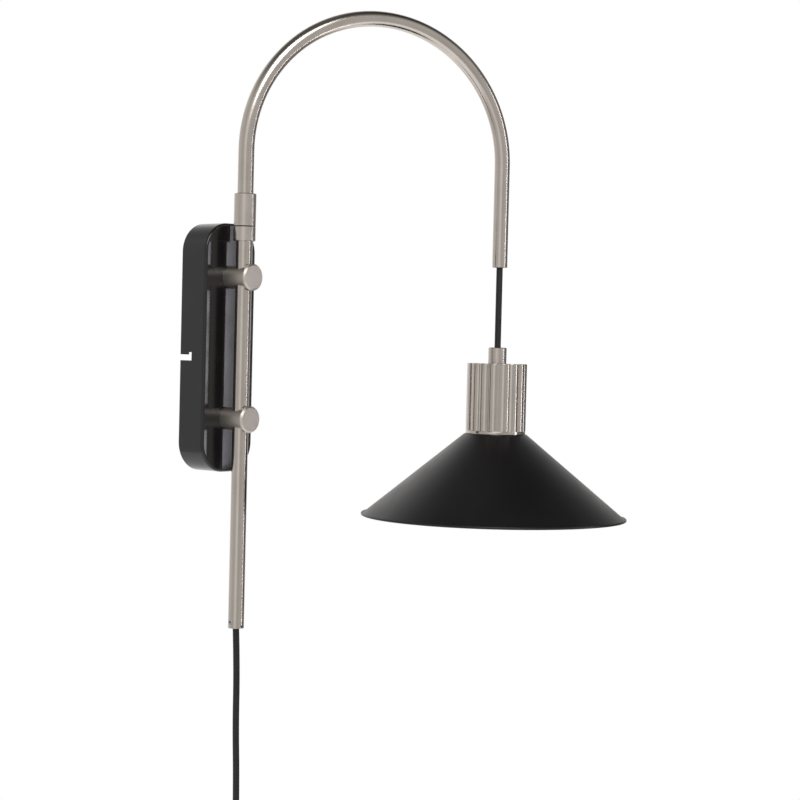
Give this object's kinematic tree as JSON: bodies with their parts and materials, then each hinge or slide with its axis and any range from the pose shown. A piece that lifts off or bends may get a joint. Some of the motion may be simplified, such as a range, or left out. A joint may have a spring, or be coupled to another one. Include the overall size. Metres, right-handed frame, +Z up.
{
  "type": "hanging pendant wall sconce",
  "caption": "Plug-in wall sconce: a sliding, swivelling arch arm on a clamped stem carries a hanging reeded lampholder cup and a conical shade, with an in-line switch and a cord.",
  "frame": {"origin": "centre of the wall plate's back, on the wall", "axes": "+Y into the wall, the lamp stands out towards -Y, +Z up along the stem, +X to the side that the arm rests swung towards"},
  "size_m": [0.3476, 0.2346, 0.8365],
  "materials": {
    "satin_nickel": "satin nickel plating, finely brushed",
    "black_gloss": "smooth black enamel",
    "black_satin": "satin black paint",
    "zinc_steel": "bright zinc",
    "brass": "bare brass",
    "black_plastic": "moulded, matt",
    "black_cord": "smooth round sheath",
    "brown_wire": "core insulation"
  },
  "bodies": {
    "fixing": {"wall_plate": "black_gloss", "wall_bracket": "zinc_steel", "cover_screws": "black_gloss", "upper_post": "satin_nickel", "lower_post": "satin_nickel", "post_screws": "zinc_steel", "post_washers": "zinc_steel"},
    "upper_pad": {"upper_clamp_pad": "black_plastic"},
    "lower_pad": {"lower_clamp_pad": "black_plastic"},
    "upper_knob": {"upper_clamp_knob": "satin_nickel", "upper_clamp_stud": "satin_nickel"},
    "lower_knob": {"lower_clamp_knob": "satin_nickel", "lower_clamp_stud": "satin_nickel"},
    "stem": {"stem_tube": "satin_nickel", "stem_cord_bush": "black_plastic", "cord_grub_screw": "zinc_steel", "swivel_lower_ring": "satin_nickel", "swivel_washer": "black_plastic", "swivel_spigot": "zinc_steel", "stem_cable": "black_cord", "power_cord_upper": "black_cord", "switch_base": "black_plastic", "switch_cover": "black_plastic", "switch_screws": "zinc_steel", "switch_contacts": "brass", "switch_cord_ends": "black_cord", "power_cord_middle": "black_cord", "cord_hank": "black_cord", "cord_tie": "black_plastic", "power_cord_tail": "black_cord", "plug_relief": "black_plastic", "plug_body": "black_plastic", "plug_pins": "zinc_steel"},
    "rocker": {"switch_rocker": "black_plastic"},
    "arm": {"arch_tube": "satin_nickel", "swivel_upper_sleeve": "satin_nickel", "swivel_stop_screw": "zinc_steel", "arch_end_bush": "black_plastic", "arch_cable": "black_cord"},
    "cable": {"pendant_cable": "black_cord"},
    "pendant": {"cable_gland": "satin_nickel", "gland_collet": "black_plastic", "gland_screw": "zinc_steel", "lamp_cable": "black_cord", "socket_cup": "satin_nickel", "threaded_nipple": "zinc_steel", "nipple_nut": "zinc_steel", "lampholder_cap": "black_plastic", "lampholder_body": "black_plastic", "thread_shell": "brass", "centre_contact": "brass", "side_contact": "brass", "terminal_screws": "brass", "lamp_leads": "brown_wire", "shade": "black_satin", "shade_ring": "black_plastic"}
  },
  "joints": [
    {"name": "stem_slide", "type": "slide", "parent": "fixing", "child": "stem", "axis": [0, 0, 1], "range_m": [-0.017, 0.12]},
    {"name": "arm_swivel", "type": "hinge", "parent": "stem", "child": "arm", "pos_m": [0, -0.04, 0.0909], "axis": [0, 0, 1], "range_deg": [-137, 7]},
    {"name": "pendant_swing_side", "type": "hinge", "parent": "arm", "child": "cable", "pos_m": [0.19214, -0.12959, 0.0695], "axis": [0.9063, -0.4226, 0], "range_deg": [-20, 20]},
    {"name": "pendant_swing_fore", "type": "hinge", "parent": "cable", "child": "pendant", "pos_m": [0.19214, -0.12959, 0.004], "axis": [0.4226, 0.9063, 0], "range_deg": [-20, 20]},
    {"name": "upper_pad_slide", "type": "slide", "parent": "fixing", "child": "upper_pad", "axis": [0, -1, 0], "range_m": [0, 0.0008]},
    {"name": "upper_knob_turn", "type": "hinge", "parent": "upper_pad", "child": "upper_knob", "pos_m": [0, -0.05, 0.053], "axis": [0, -1, 0], "range_deg": [0, 360]},
    {"name": "lower_pad_slide", "type": "slide", "parent": "fixing", "child": "lower_pad", "axis": [0, -1, 0], "range_m": [0, 0.0008]},
    {"name": "lower_knob_turn", "type": "hinge", "parent": "lower_pad", "child": "lower_knob", "pos_m": [0, -0.05, -0.053], "axis": [0, -1, 0], "range_deg": [0, 360]},
    {"name": "rocker_tip", "type": "hinge", "parent": "stem", "child": "rocker", "pos_m": [0.002, -0.0468, -0.375], "axis": [1, 0, 0], "range_deg": [-14, 0]}
  ],
  "couplings": [
    {"joint": "upper_pad_slide", "follows": "upper_knob_turn", "m_per_rad": 0.0001273},
    {"joint": "lower_pad_slide", "follows": "lower_knob_turn", "m_per_rad": 0.0001273}
  ]
}
